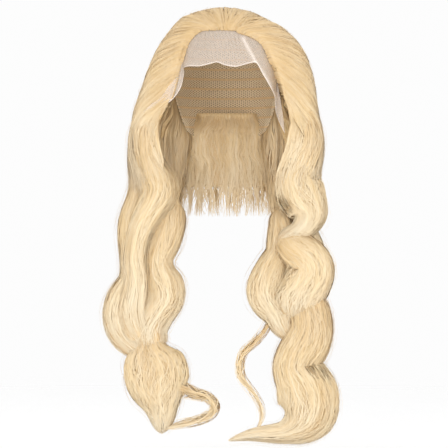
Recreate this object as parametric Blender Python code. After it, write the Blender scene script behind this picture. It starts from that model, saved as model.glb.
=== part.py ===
# Long wavy lace front wig, in metres, +Z up, face side towards -Y.
# The origin is the top of the inside of the cap, where a head touches it.
import bmesh
import bpy
import math
import numpy as np
from mathutils import Vector

for old in list(bpy.data.objects):
    bpy.data.objects.remove(old, do_unlink=True)

MM = 0.001

# Head form that the cap fits: half axes in mm, and the height of its widest level.
HEAD_HALF_WIDTH = 71.0
HEAD_HALF_LENGTH = 93.0
HEAD_TOP_RISE = 85.0
HEAD_LOW_DROP = 140.0

# Layers, as distances outwards from the head form, in mm.
CAP_WALL = 1.2
CAP_POINTS = 36
LACE_INNER = 1.6
LACE_WALL = 1.0
HAIR_INNER = 3.3
HAIR_ROOT = 4.2
COMB_INNER = -2.9
COMB_WALL = 2.0

# Hair over the cap ends here, and the falls start just under it.
CROWN_BOTTOM = -140.0
PIECE_GAP = 0.3
NAPE_HALF_WIDTH = 51.2
ROOT_RISE_WIDTH = 30.0
CROWN_FLUTES = 16
CROWN_FLUTE_DEPTH = 2.2

# Locks: points round a section, ridges round it, and their depth as a share of its size.
LOCK_SIDES = 10
LOCK_RIDGES = 5
LOCK_RIDGE_DEPTH = 0.07
RINGS_PER_ROW = 2

# Sections of the hair over the cap: height, then reach to the left, right, front and back.
CROWN_SECTIONS = [
    (8.0, 24.0, 19.0, 22.0, 26.0),
    (5.0, 42.0, 30.0, 33.0, 43.0),
    (0.0, 54.5, 43.0, 44.0, 59.0),
    (-6.5, 64.0, 56.0, 51.0, 71.0),
    (-13.0, 69.0, 69.0, 57.0, 79.0),
    (-19.5, 74.0, 77.5, 62.0, 86.0),
    (-32.5, 83.0, 93.0, 69.0, 96.0),
    (-45.0, 92.0, 101.0, 75.0, 103.0),
    (-58.0, 97.5, 108.0, 79.0, 108.0),
    (-71.0, 103.0, 111.5, 82.0, 112.0),
    (-84.0, 108.0, 115.0, 84.0, 114.0),
    (-97.0, 113.0, 117.5, 85.0, 115.0),
    (-110.0, 118.5, 120.0, 84.0, 115.0),
    (-123.0, 124.0, 121.5, 82.0, 113.0),
    (-140.0, 126.5, 125.0, 80.0, 109.0),
]
CROWN_TOP = 10.4

# Edge of the hair round the face, seen from the front: across, height.
HAIRLINE = [
    (-89, -143),
    (-85.2, -133.9),
    (-78.7, -123.5),
    (-72.2, -110.5),
    (-68.2, -97.5),
    (-64.4, -78),
    (-61.8, -67.6),
    (-59.1, -58.5),
    (-55.2, -45.5),
    (-51.4, -35.1),
    (-43.6, -26),
    (-34.5, -19.5),
    (-21.4, -18.9),
    (-2, -18.9),
    (11.1, -19.5),
    (17.6, -23.4),
    (30.6, -27.3),
    (41, -32.5),
    (50.1, -40.3),
    (55.2, -52),
    (59.1, -62.4),
    (64.4, -71.5),
    (68.2, -84.5),
    (72.2, -97.5),
    (74.8, -110.5),
    (78.7, -126.1),
    (81.2, -143),
]
CAP_SETBACK = 4.0
CAP_SIDE_LIMIT = 66.0
FACE_CUT_DEPTH = -8.0

# Lower edge of the cap from the side: depth, height. Ear tab, ear arch, then the nape.
CAP_EDGE = [
    (-140.0, -106.0),
    (-20.0, -106.0),
    (-9.0, -97.0),
    (8.0, -91.0),
    (25.0, -96.0),
    (36.0, -118.0),
    (48.0, -148.0),
    (70.0, -162.0),
    (140.0, -164.0),
]

# Lace panel, column by column from the tail on the left to the flap on the right:
# across and height of its upper point, then of its lower point.
LACE_COLUMNS = [
    (-107.9, -126.8, -107.9, -130),
    (-96.9, -117, -96.9, -123.5),
    (-83.9, -107.9, -82.5, -119.6),
    (-74.8, -94.9, -69.5, -111.8),
    (-62.4, -80.6, -59.1, -97.5),
    (-57.3, -63.7, -54.6, -79.3),
    (-57.9, -45.5, -55.2, -71.5),
    (-50.1, -29.9, -47.5, -69.5),
    (-37.1, -15.6, -34.5, -70.2),
    (-18.9, -14.3, -21.4, -67.6),
    (-8.5, -14.3, -12.3, -65.7),
    (4.5, -14.3, -2, -69.5),
    (15, -16.9, 11.1, -71.5),
    (24.1, -20.8, 21.4, -68.9),
    (33.1, -24.7, 30.6, -66.3),
    (41, -29.9, 38.4, -66.3),
    (48.8, -39, 46.1, -79.3),
    (56.6, -52, 54, -92.3),
    (63.1, -66.3, 61.8, -106.6),
    (65, -81.9, 63.1, -123.5),
    (67.6, -100.1, 65.7, -133.9),
    (70.9, -120.9, 70.2, -145.6),
    (73.5, -139.1, 74.8, -154.7),
]
LACE_ON_HAIR = 6
LACE_FLAP_FROM = 19
LACE_FLAP_DEPTH = (-38.0, -46.0, -53.0, -57.0)
LACE_LEFT_LIFT = 3.4
LACE_ROWS = 5
# Crease in the lace on the right: across, height.
LACE_CREASE = [(21.0, -34.0), (30.5, -52.0), (38.5, -66.5), (53.0, -88.0), (63.0, -108.0)]
CREASE_RISE = 2.2
CREASE_SPREAD = 3.0

# Comb inside the right temple of the cap.
COMB_FRONT = -27.0
COMB_SPINE = 4.5
COMB_TOOTH_LENGTH = 15.0
COMB_TOP = -83.5
COMB_PITCH = 1.9
COMB_TEETH = 5

# Locks, row by row down each one: across, depth, height, half width, half depth.
LOCKS = {
    "leftFront": [
        (-96.9, -34, -126.1, 16.9, 24),
        (-103.4, -36, -149.5, 17.6, 24),
        (-103.4, -40, -175.5, 16.9, 24),
        (-95.5, -46, -198.9, 18.2, 22),
        (-87.8, -52, -217.1, 23.4, 21),
        (-86.5, -57, -232.7, 24.1, 20),
        (-95.5, -60, -250.9, 20.2, 19),
        (-107.2, -63, -271.7, 17.6, 18),
        (-115, -66, -295.1, 15.6, 18),
        (-117.7, -68, -318.5, 15.6, 18),
        (-115, -72, -341.9, 16.9, 18),
        (-117.7, -78, -364, 19.5, 18),
        (-120.2, -82, -386.1, 22.1, 18),
        (-112.5, -84, -409.5, 20.8, 17),
        (-98.5, -84, -432, 8, 8),
    ],
    "leftOuter": [
        (-111.2, -5, -126.1, 15.6, 28),
        (-112.5, -5, -156, 15.6, 30),
        (-113.8, -8, -188.5, 14.3, 30),
        (-112.5, -14, -214.5, 13.7, 28),
        (-117.7, -22, -240.5, 14.3, 26),
        (-124.2, -30, -263.9, 16.2, 24),
        (-125.5, -38, -286, 16.2, 24),
        (-124.2, -46, -312, 15, 24),
        (-122.9, -54, -341.9, 16.2, 24),
        (-133.2, -62, -366.6, 22.1, 24),
        (-137.2, -68, -390, 23.4, 24),
        (-128.1, -72, -412.1, 24.7, 22),
        (-109.9, -75, -430.3, 19.5, 20),
        (-94.2, -78, -445, 8, 9),
    ],
    "leftInner": [
        (-70.9, -38, -235.3, 11.7, 18),
        (-73.5, -42, -253.5, 20.8, 18),
        (-76, -46, -273, 23.4, 18),
        (-81.2, -50, -295.1, 22.1, 18),
        (-87.8, -54, -315.9, 19.5, 18),
        (-86.5, -60, -334.1, 21.4, 18),
        (-80, -66, -351, 26, 19),
        (-78.7, -72, -367.9, 24.7, 20),
        (-89, -76, -386.1, 22.8, 20),
        (-99.5, -80, -404.3, 24.7, 18),
        (-100.8, -82, -422.5, 26, 17),
        (-98.2, -82, -443, 10, 8),
    ],
    "leftLow": [
        (-97, -80, -409, 9, 8),
        (-97.5, -83, -427, 22, 15),
        (-95.5, -84, -442, 36.4, 20),
        (-90.4, -84, -458.9, 41.6, 22),
        (-89, -84, -474.5, 40.3, 22),
        (-86.5, -83, -490.1, 33.8, 21),
        (-83.9, -82, -504.4, 24.1, 19),
        (-82.5, -81, -518.7, 17.6, 16),
        (-82.5, -80, -533, 13, 12),
        (-82.5, -80, -539.5, 7.8, 7),
    ],
    "leftTip": [
        (-76, -84, -479.7, 13, 14),
        (-57.9, -86, -482.3, 10.4, 11),
        (-39.6, -87, -488.8, 7.8, 8),
        (-24.1, -87, -492.7, 6.5, 7),
        (-15, -86, -503.1, 6.5, 7),
        (-20.2, -85, -514.8, 6.5, 7),
        (-34.5, -84, -521.3, 7.8, 8),
        (-55.2, -83, -526.5, 8.5, 9),
        (-76, -82, -531.7, 7.8, 9),
        (-90.4, -81, -534.3, 5.9, 7),
    ],
    "rightFront": [
        (103.4, -34, -126.1, 18.2, 24),
        (107.2, -36, -149.5, 18.2, 24),
        (106, -40, -172.9, 19.5, 24),
        (98.2, -46, -193.7, 22.1, 22),
        (90.4, -52, -214.5, 26.7, 21),
        (94.2, -57, -231.4, 32.5, 20),
        (100.8, -60, -245.7, 29.2, 20),
        (106, -62, -258.7, 24.1, 19),
        (102, -64, -271.7, 18.2, 18),
        (91.7, -66, -283.4, 15, 17),
        (77.4, -68, -292.5, 15.6, 17),
        (68.5, -71, -305, 7, 8),
    ],
    "rightMiddle": [
        (72.2, -66, -287.3, 15.6, 18),
        (82.5, -70, -300.3, 22.1, 19),
        (98.2, -74, -313.3, 28.6, 20),
        (107.2, -77, -328.9, 31.2, 21),
        (103.4, -79, -345.8, 31.2, 21),
        (95.5, -80, -361.4, 31.2, 20),
        (87.8, -81, -377, 28.6, 19),
        (85, -82, -395, 10, 9),
    ],
    "rightLow": [
        (94.5, -78, -354, 9, 9),
        (103.4, -79, -375.7, 26, 18),
        (107.2, -80, -392.6, 27.9, 19),
        (107.2, -81, -409.5, 29.9, 20),
        (100.8, -82, -426.4, 31.2, 20),
        (91.7, -83, -442, 30.6, 20),
        (87.8, -83, -456.3, 31.2, 20),
        (95.5, -84, -470.6, 36.4, 21),
        (102, -84, -486.2, 40.3, 22),
        (104.7, -84, -501.8, 39, 22),
        (100.8, -83, -517.4, 37.7, 21),
        (90.4, -82, -530.4, 26, 18),
        (72.2, -81, -538.2, 14.3, 15),
        (52.6, -80, -539.5, 11.7, 12),
        (33.1, -80, -540.8, 10.4, 10),
        (15, -80, -544.7, 7.8, 8),
        (2, -80, -548.6, 5.2, 6),
    ],
    "rightInner": [
        (74.8, -44, -248.3, 13, 16),
        (69.5, -47, -262.6, 19.5, 17),
        (70.9, -50, -278.2, 18.2, 17),
        (69.5, -54, -295.1, 18.2, 17),
        (67, -58, -310.7, 18.2, 17),
        (59.1, -62, -326.3, 20.8, 17),
        (54, -66, -341.9, 24.7, 17),
        (51.4, -68, -357.5, 27.3, 17),
        (56.6, -70, -371.8, 26, 17),
        (65.7, -73, -386.1, 20.8, 16),
        (72.2, -76, -401.7, 16.9, 16),
        (84, -80, -423, 8, 8),
    ],
    "rightWisp": [
        (56.6, -74, -386.1, 6.5, 6),
        (51.4, -76, -403, 5.2, 5),
        (38.4, -78, -419.9, 5.2, 5),
        (21.4, -79, -435.5, 5.2, 5),
        (16.9, -80, -453.7, 5.9, 5),
        (20.2, -80, -469.3, 5.2, 5),
        (31.9, -80, -484.9, 5.2, 5),
        (41, -80, -499.2, 5.9, 5),
        (44.9, -80, -514.8, 6.5, 6),
        (41, -80, -530.4, 7.8, 8),
        (33.1, -80, -540.8, 7.8, 8),
    ],
    "leftSide": [
        (-98, 25, -128, 27, 34),
        (-100, 24, -165, 27, 34),
        (-98, 18, -200, 27, 32),
        (-98, 8, -240, 28, 30),
        (-102, -6, -280, 28, 28),
        (-110, -30, -320, 26, 26),
        (-119, -55, -374, 10, 11),
    ],
    "leftBack": [
        (-72, 62, -128, 30, 30),
        (-74, 60, -165, 28, 28),
        (-80, 52, -200, 26, 26),
        (-86, 40, -240, 26, 25),
        (-94, 20, -280, 26, 24),
        (-104, -4, -320, 24, 22),
        (-113, -42, -368, 9, 9),
    ],
    "rightSide": [
        (97, 25, -128, 28, 34),
        (98, 24, -165, 28, 34),
        (93, 18, -200, 26, 32),
        (89, 8, -240, 27, 30),
        (93, -8, -280, 25, 28),
        (104, -33, -320, 26, 26),
        (106, -58, -372, 10, 11),
    ],
    "rightBack": [
        (72, 62, -128, 30, 30),
        (74, 60, -165, 28, 28),
        (78, 52, -200, 26, 26),
        (82, 38, -240, 26, 25),
        (88, 18, -280, 25, 24),
        (96, -6, -320, 24, 22),
        (103, -46, -366, 9, 9),
    ],
    "napeMiddle": [
        (2, 86, -128, 32, 20),
        (2, 86, -168, 31, 18),
        (1.5, 81, -212, 25, 15),
        (1, 73, -252, 9, 8),
    ],
    "napeLeft": [
        (-32, 80, -128, 26, 25),
        (-35, 78, -165, 27, 21),
        (-39, 73, -200, 26, 17),
        (-43, 62, -236, 21, 16),
        (-46, 53, -264, 10, 8),
    ],
    "napeRight": [
        (32, 80, -128, 26, 25),
        (36, 78, -163, 26, 21),
        (40, 73, -198, 25, 17),
        (43, 62, -238, 21, 16),
        (46, 53, -266, 9, 8),
    ],
}


def material(name, colour, roughness, alpha=1.0):
    made = bpy.data.materials.new(name)
    made.use_nodes = True
    shader = made.node_tree.nodes["Principled BSDF"]
    shader.inputs["Base Color"].default_value = (*colour, 1.0)
    shader.inputs["Roughness"].default_value = roughness
    shader.inputs["Metallic"].default_value = 0.0
    shader.inputs["Alpha"].default_value = alpha
    return made


HAIR = material("blonde_hair", (0.86, 0.68, 0.38), 0.42)
LACE = material("sheer_lace", (0.86, 0.76, 0.66), 0.6)
NET = material("cap_net", (0.80, 0.68, 0.52), 0.7)
COMB = material("comb_plastic", (0.05, 0.03, 0.035), 0.4)


def add_mesh(name, points, faces, surface, smooth=True):
    mesh = bpy.data.meshes.new(name)
    mesh.from_pydata([tuple(c * MM for c in p) for p in points], [], faces)
    shape = bmesh.new()
    shape.from_mesh(mesh)
    bmesh.ops.recalc_face_normals(shape, faces=shape.faces)
    shape.to_mesh(mesh)
    shape.free()
    for face in mesh.polygons:
        face.use_smooth = smooth
    made = bpy.data.objects.new(name, mesh)
    bpy.context.scene.collection.objects.link(made)
    mesh.materials.append(surface)
    return made


def helper(made):
    made.hide_render = True
    made.display_type = "WIRE"
    return made


def boolean(target, other, operation):
    modifier = target.modifiers.new(f"{operation.lower()}_{other.name}", "BOOLEAN")
    modifier.operation = operation
    modifier.solver = "EXACT"
    modifier.object = other


def head_scale(z):
    rise = z + HEAD_TOP_RISE
    reach = HEAD_TOP_RISE if rise > 0 else HEAD_LOW_DROP
    return rise, reach


def head_depth(x, z, out=0.0):
    """Depth of the front of the head form, grown by out, at this place in the front view."""
    rise, reach = head_scale(z)
    rest = 1 - (rise / (reach + out)) ** 2 - (x / (HEAD_HALF_WIDTH + out)) ** 2
    return -(HEAD_HALF_LENGTH + out) * math.sqrt(max(rest, 0.0))


def head_side(y, z, out=0.0):
    """Reach to the right of the head form, grown by out, at this depth and height."""
    rise, reach = head_scale(z)
    rest = 1 - (rise / (reach + out)) ** 2 - (y / (HEAD_HALF_LENGTH + out)) ** 2
    return (HEAD_HALF_WIDTH + out) * math.sqrt(max(rest, 0.0))


def head_ring(z, out, count):
    rise, reach = head_scale(z)
    size = math.sqrt(max(1 - (rise / (reach + out)) ** 2, 0.0))
    turns = [math.tau * k / count for k in range(count)]
    return [
        (
            (HEAD_HALF_WIDTH + out) * size * math.sin(a),
            -(HEAD_HALF_LENGTH + out) * size * math.cos(a),
            z,
        )
        for a in turns
    ]


def dome(rings, top):
    """Points and faces of a dome: one point at the top, then rings downwards, open below."""
    count = len(rings[0])
    points = [top]
    for ring in rings:
        points.extend(ring)
    faces = []
    for k in range(count):
        faces.append((0, 1 + k, 1 + (k + 1) % count))
    for r in range(len(rings) - 1):
        for k in range(count):
            a = 1 + r * count + k
            b = 1 + r * count + (k + 1) % count
            faces.append((a, a + count, b + count, b))
    return points, faces


def head_levels(out, bottom, count):
    """Heights from near the top of the head form to the bottom, closer together at the top."""
    high = [
        -HEAD_TOP_RISE + (HEAD_TOP_RISE + out) * math.cos(math.pi / 2 * k / count)
        for k in range(1, count + 1)
    ]
    low = list(np.linspace(-HEAD_TOP_RISE, bottom, 5))[1:]
    return high + low


def head_void(name, bottom):
    """Closed body of the head form with room for the cap and the lace."""
    levels = head_levels(HAIR_INNER, bottom, 9)
    rings = [head_ring(z, HAIR_INNER, 40) for z in levels]
    points, faces = dome(rings, (0.0, 0.0, HAIR_INNER))
    last = len(points) - 40
    faces.append(tuple(range(last, last + 40)))
    return helper(add_mesh(name, points, faces, HAIR))


def prism(name, outline, axis, low, high):
    """Outline pushed along an axis: x for a side view outline, y for a front view one."""
    count = len(outline)
    points = []
    for at in (low, high):
        for a, b in outline:
            points.append((at, a, b) if axis == "x" else (a, at, b))
    faces = [tuple(range(count)), tuple(range(2 * count - 1, count - 1, -1))]
    for k in range(count):
        j = (k + 1) % count
        faces.append((k, j, j + count, k + count))
    return helper(add_mesh(name, points, faces, HAIR))


def box(name, low, high):
    outline = [(low[0], low[2]), (high[0], low[2]), (high[0], high[2]), (low[0], high[2])]
    return prism(name, outline, "y", low[1], high[1])


def from_line(x, z, line):
    """Shortest distance from a place in the front view to a line through these points."""
    best = 1e9
    for (ax, az), (bx, bz) in zip(line, line[1:]):
        length = (bx - ax) ** 2 + (bz - az) ** 2
        share = max(0.0, min(1.0, ((x - ax) * (bx - ax) + (z - az) * (bz - az)) / length))
        away = math.hypot(x - ax - share * (bx - ax), z - az - share * (bz - az))
        best = min(best, away)
    return best


def smooth_step(value):
    value = max(0.0, min(1.0, value))
    return value * value * (3 - 2 * value)


def crown_point(turn, row):
    """Outer surface of the hair over the cap, at this turn from the front, on this section."""
    z, left, right, front, back = row
    across = math.sin(turn)
    ahead = math.cos(turn)
    full_x = (right if across > 0 else left) * across
    full_y = -(front if ahead > 0 else back) * ahead
    rise, reach = head_scale(z)
    size = math.sqrt(max(1 - (rise / (reach + HAIR_ROOT)) ** 2, 0.0))
    root_x = (HEAD_HALF_WIDTH + HAIR_ROOT) * size * across
    root_y = -(HEAD_HALF_LENGTH + HAIR_ROOT) * size * ahead
    share = 1.0
    if full_y < 0:
        share = smooth_step(from_line(full_x, z, HAIRLINE) / ROOT_RISE_WIDTH)
        share = max(share, smooth_step((-90 - z) / 45) * 0.85, smooth_step(-full_y / -40 + 1))
    depth = CROWN_FLUTE_DEPTH * min(1.0, (CROWN_TOP - z) / 40) * share
    grow = depth * (math.cos(CROWN_FLUTES * turn) - 1) / 2
    x = root_x + (full_x - root_x) * share
    y = root_y + (full_y - root_y) * share
    away = max(math.hypot(x, y), 1.0)
    return (x * (1 + grow / away), y * (1 + grow / away), z)


def make_crown():
    count = CROWN_FLUTES * 4
    turns = [math.tau * k / count for k in range(count)]
    rings = [[crown_point(a, row) for a in turns] for row in CROWN_SECTIONS]
    points, faces = dome(rings, (-2.0, 2.0, CROWN_TOP))
    last = len(points) - count
    faces.append(tuple(range(last, last + count)))
    crown = add_mesh("crown_hair", points, faces, HAIR)
    opening = list(HAIRLINE) + [(84.0, -200.0), (-94.0, -200.0)]
    boolean(crown, prism("face_opening", opening, "y", -200.0, FACE_CUT_DEPTH), "DIFFERENCE")
    boolean(crown, head_void("head_room", -205.0), "DIFFERENCE")
    return crown


def make_cap():
    levels = head_levels(0.0, -172.0, 8)
    outer, outer_faces = dome([head_ring(z, CAP_WALL, CAP_POINTS) for z in levels], (0, 0, CAP_WALL))
    inner, inner_faces = dome([head_ring(z, 0.0, CAP_POINTS) for z in levels], (0, 0, 0))
    base = len(outer)
    faces = outer_faces + [tuple(base + i for i in f[::-1]) for f in inner_faces]
    for k in range(CAP_POINTS):
        j = (k + 1) % CAP_POINTS
        a = base - CAP_POINTS + k
        b = base - CAP_POINTS + j
        faces.append((a, a + base, b + base, b))
    cap = add_mesh("cap", outer + inner, faces, NET)
    rim = []
    for (x, z), before, after in zip(HAIRLINE[1:-1], HAIRLINE, HAIRLINE[2:]):
        run = Vector((after[0] - before[0], after[1] - before[1])).normalized()
        wide = x - run.y * CAP_SETBACK
        high = z + run.x * CAP_SETBACK
        if abs(wide) < CAP_SIDE_LIMIT and high > -80:
            rim.append((wide, high))
    rim = [(-CAP_SIDE_LIMIT, -84.0)] + rim + [(CAP_SIDE_LIMIT, -84.0)]
    opening = rim + [(CAP_SIDE_LIMIT, -200.0), (-CAP_SIDE_LIMIT, -200.0)]
    boolean(cap, prism("cap_front_cut", opening, "y", -200.0, FACE_CUT_DEPTH), "DIFFERENCE")
    edge = CAP_EDGE + [(140.0, -230.0), (-140.0, -230.0)]
    boolean(cap, prism("cap_edge_cut", edge, "x", -120.0, 120.0), "DIFFERENCE")
    return cap


def slab(name, cells, at, surface):
    """Thin body over grid cells: at(column, row, side) gives each point, side 0 outer, 1 inner."""
    index = {}
    points = []

    def corner(i, j, side):
        if (i, j, side) not in index:
            index[i, j, side] = len(points)
            points.append(at(i, j, side))
        return index[i, j, side]

    faces = []
    used = {}
    for i, j in cells:
        loop = [(i, j), (i + 1, j), (i + 1, j + 1), (i, j + 1)]
        faces.append(tuple(corner(*c, 0) for c in loop))
        faces.append(tuple(corner(*c, 1) for c in reversed(loop)))
        for a, b in zip(loop, loop[1:] + loop[:1]):
            used[a, b] = used.get((a, b), 0) + 1
    for a, b in list(used):
        if (b, a) not in used:
            faces.append((corner(*a, 0), corner(*a, 1), corner(*b, 1), corner(*b, 0)))
    return add_mesh(name, points, faces, surface)


def catmull(rows, per_row):
    """Rows of numbers eased into more rows, through every given one."""
    given = [np.array(r, float) for r in rows]
    given = [2 * given[0] - given[1]] + given + [2 * given[-1] - given[-2]]
    eased = []
    for k in range(1, len(given) - 2):
        p, a, b, n = given[k - 1], given[k], given[k + 1], given[k + 2]
        for s in range(per_row):
            t = s / per_row
            eased.append(
                a + 0.5 * t * (b - p + t * (2 * p - 5 * a + 4 * b - n + t * (3 * (a - b) + n - p)))
            )
    eased.append(given[-2])
    return eased


def crown_front(x, z):
    """Depth of the outer hair surface at this place in the front view."""
    heights = [-r[0] for r in CROWN_SECTIONS]
    row = [np.interp(-z, heights, [r[c] for r in CROWN_SECTIONS]) for c in range(5)]
    sign = 1 if x > 0 else -1
    low, high = 0.0, math.pi / 2
    for _ in range(30):
        middle = (low + high) / 2
        if abs(crown_point(sign * middle, row)[0]) < abs(x):
            low = middle
        else:
            high = middle
    return crown_point(sign * low, row)[1]


def make_lace():
    columns = catmull(LACE_COLUMNS, 2)
    flap = list(range(LACE_FLAP_FROM, len(LACE_COLUMNS)))

    def at(i, j, side):
        top_x, top_z, low_x, low_z = columns[i]
        share = j / LACE_ROWS
        x = top_x + (low_x - top_x) * share
        z = top_z + (low_z - top_z) * share
        out = LACE_INNER + (LACE_WALL if side == 0 else 0.0)
        bump = CREASE_RISE * math.exp(-((from_line(x, z, LACE_CREASE) / CREASE_SPREAD) ** 2))
        place = i / 2
        if place < LACE_ON_HAIR:
            y = crown_front(x, z) - LACE_LEFT_LIFT - (LACE_WALL if side == 0 else 0.0)
            edge = smooth_step(place + 1.5 - LACE_ON_HAIR)
            on_head = head_depth(x, z, out)
            return (x, y + (on_head - y) * edge, z)
        if place <= LACE_FLAP_FROM:
            return (x, head_depth(x, z, out) - bump, z)
        y = np.interp(place, flap, LACE_FLAP_DEPTH)
        return (x, y - (LACE_WALL if side == 0 else 0.0), z)

    cells = [(i, j) for i in range(len(columns) - 1) for j in range(LACE_ROWS)]
    return slab("front_lace", cells, at, LACE)


def make_comb():
    cells = [(0, j) for j in range(2 * COMB_TEETH - 1)]
    for i in range(1, 4):
        cells.extend((i, j) for j in range(0, 2 * COMB_TEETH - 1, 2))

    def at(i, j, side):
        y = COMB_FRONT
        if i > 0:
            y += COMB_SPINE + COMB_TOOTH_LENGTH * (i - 1) / 3
        z = COMB_TOP - COMB_PITCH * j
        return (head_side(y, z, COMB_INNER + (COMB_WALL if side == 0 else 0.0)), y, z)

    return slab("temple_comb", cells, at, COMB)


def lock_mesh(name, rows):
    """Closed ridged tube along a lock, its section square to its run in the front view."""
    rings = catmull(rows, RINGS_PER_ROW)
    points = []
    for k, ring in enumerate(rings):
        before = Vector(rings[max(k - 1, 0)][:3])
        after = Vector(rings[min(k + 1, len(rings) - 1)][:3])
        run = (after - before).normalized()
        wide = run.cross(Vector((0, 1, 0))).normalized()
        deep = wide.cross(run).normalized()
        middle = Vector(ring[:3])
        for s in range(LOCK_SIDES):
            turn = math.tau * s / LOCK_SIDES
            ridge = 1 + LOCK_RIDGE_DEPTH * math.cos(LOCK_RIDGES * turn)
            place = middle + wide * (math.cos(turn) * ring[3] * ridge)
            place += deep * (math.sin(turn) * ring[4] * ridge)
            points.append(tuple(place))
    faces = []
    for k in range(len(rings) - 1):
        for s in range(LOCK_SIDES):
            a = k * LOCK_SIDES + s
            b = k * LOCK_SIDES + (s + 1) % LOCK_SIDES
            faces.append((a, b, b + LOCK_SIDES, a + LOCK_SIDES))
    faces.append(tuple(range(LOCK_SIDES)))
    faces.append(tuple(range(len(points) - 1, len(points) - 1 - LOCK_SIDES, -1)))
    return add_mesh(name, points, faces, HAIR)


def make_fall(name, prefix, cuts):
    names = [k for k in LOCKS if k.startswith(prefix)]
    fall = lock_mesh(name, LOCKS[names[0]])
    for key in names[1:]:
        boolean(fall, helper(lock_mesh(key, LOCKS[key])), "UNION")
    for cut in cuts:
        boolean(fall, cut, "DIFFERENCE")
    return fall


make_cap()
make_lace()
make_comb()
make_crown()
below_crown = box("below_crown", (-300, -300, CROWN_BOTTOM - PIECE_GAP), (300, 300, 100))
neck_room = head_void("neck_room", -205.0)
nape_zone = NAPE_HALF_WIDTH + PIECE_GAP
behind = box("behind_neck", (-nape_zone, 20, -400), (nape_zone, 300, 100))
left_of_nape = box("left_of_nape", (-300, -300, -500), (-NAPE_HALF_WIDTH, 300, 100))
right_of_nape = box("right_of_nape", (NAPE_HALF_WIDTH, -300, -500), (300, 300, 100))
make_fall("left_fall", "left", [below_crown, neck_room, behind])
make_fall("right_fall", "right", [below_crown, neck_room, behind])
make_fall("nape_hair", "nape", [below_crown, neck_room, left_of_nape, right_of_nape])
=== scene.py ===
import math
import bmesh
import bpy
import numpy as np
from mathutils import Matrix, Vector
from mathutils.bvhtree import BVHTree


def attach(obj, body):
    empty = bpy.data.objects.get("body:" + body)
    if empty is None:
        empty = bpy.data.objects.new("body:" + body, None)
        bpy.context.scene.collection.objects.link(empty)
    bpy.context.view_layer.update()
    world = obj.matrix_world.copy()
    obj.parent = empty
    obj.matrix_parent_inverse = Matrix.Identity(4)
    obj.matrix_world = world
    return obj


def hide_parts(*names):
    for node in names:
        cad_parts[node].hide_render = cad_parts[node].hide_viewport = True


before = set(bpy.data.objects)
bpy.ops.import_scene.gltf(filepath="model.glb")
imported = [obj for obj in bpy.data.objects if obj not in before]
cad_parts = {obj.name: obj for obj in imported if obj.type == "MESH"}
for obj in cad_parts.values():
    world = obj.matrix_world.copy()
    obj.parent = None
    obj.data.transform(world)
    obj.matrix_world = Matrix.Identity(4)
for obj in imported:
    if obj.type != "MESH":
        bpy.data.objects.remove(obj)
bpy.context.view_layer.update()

# Long blonde body-wave wig on a net cap, with its lace front left uncut.
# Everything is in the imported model's frame: metres, +Z up, the front towards -Y.
mm = 0.001
print("wig: frame loaded")


def linear(hexText):
    # sRGB hex to the linear values that the nodes take
    channels = []
    for k in (1, 3, 5):
        c = int(hexText[k:k + 2], 16) / 255
        channels.append(c / 12.92 if c <= 0.04045 else ((c + 0.055) / 1.055) ** 2.4)
    return (*channels, 1.0)


def setInputs(tree, node, inputs):
    # an input takes a value, an output, or a node for its first output
    for key, value in inputs.items():
        if isinstance(value, bpy.types.Node):
            value = value.outputs[0]
        if isinstance(value, bpy.types.NodeSocket):
            tree.links.new(value, node.inputs[key])
        else:
            node.inputs[key].default_value = value


def addNode(tree, kind, inputs=None, **settings):
    node = tree.nodes.new(kind)
    for name, value in settings.items():
        setattr(node, name, value)
    setInputs(tree, node, inputs or {})
    return node


def calc(tree, operation, *values, kind="Math", **settings):
    # arithmetic on numbers, or on vectors where kind is VectorMath
    return addNode(tree, "ShaderNode" + kind, dict(enumerate(values)), operation=operation, **settings)


def remap(tree, value, source=(0.0, 1.0), target=(0.0, 1.0), **settings):
    ends = {"From Min": source[0], "From Max": source[1], "To Min": target[0], "To Max": target[1]}
    return addNode(tree, "ShaderNodeMapRange", {"Value": value, **ends}, **settings)


def blend(tree, share, first, second):
    # the mixed colour itself
    inputs = {0: share, 6: first, 7: second}
    return addNode(tree, "ShaderNodeMix", inputs, data_type="RGBA").outputs[2]


def addObject(name, data):
    made = bpy.data.objects.new(name, data)
    bpy.context.scene.collection.objects.link(made)
    return made


def startMaterial(name):
    material = bpy.data.materials.new(name)
    material.use_nodes = True
    tree = material.node_tree
    return material, tree, tree.nodes["Principled BSDF"]


def setStops(ramp, stops):
    elements = ramp.color_ramp.elements
    while len(elements) > 1:
        elements.remove(elements[-1])
    elements[0].position, elements[0].color = stops[0][0], linear(stops[0][1])
    for place, colour in stops[1:]:
        elements.new(place).color = linear(colour)


# Human hair, bleached to pale blonde and steam-waved. Each hair is a smooth translucent shaft, so a lock
# glows where light comes through it and has a soft broad sheen across it. The golden colour in its valleys,
# between clumps and on hair that lies in shade, is painted shade.
hairLook = {
    "deep": "#DFC596", "shade": "#E4CCA2", "body": "#E9D5B0", "light": "#ECDBBC",
    # the roots colour is painted shade, strongest at the root of each strand
    "tips": "#EFE4CD", "roots": "#CBA876", "rootShadeShare": 0.5, "rootShadeReach": 0.42,
    # the valley colour is painted shade
    "valleyShade": "#CFA970", "valleyShadeShare": 0.24, "bandMm": 30.0,
    "roughness": 0.6, "specular": 0.14,
}


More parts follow.
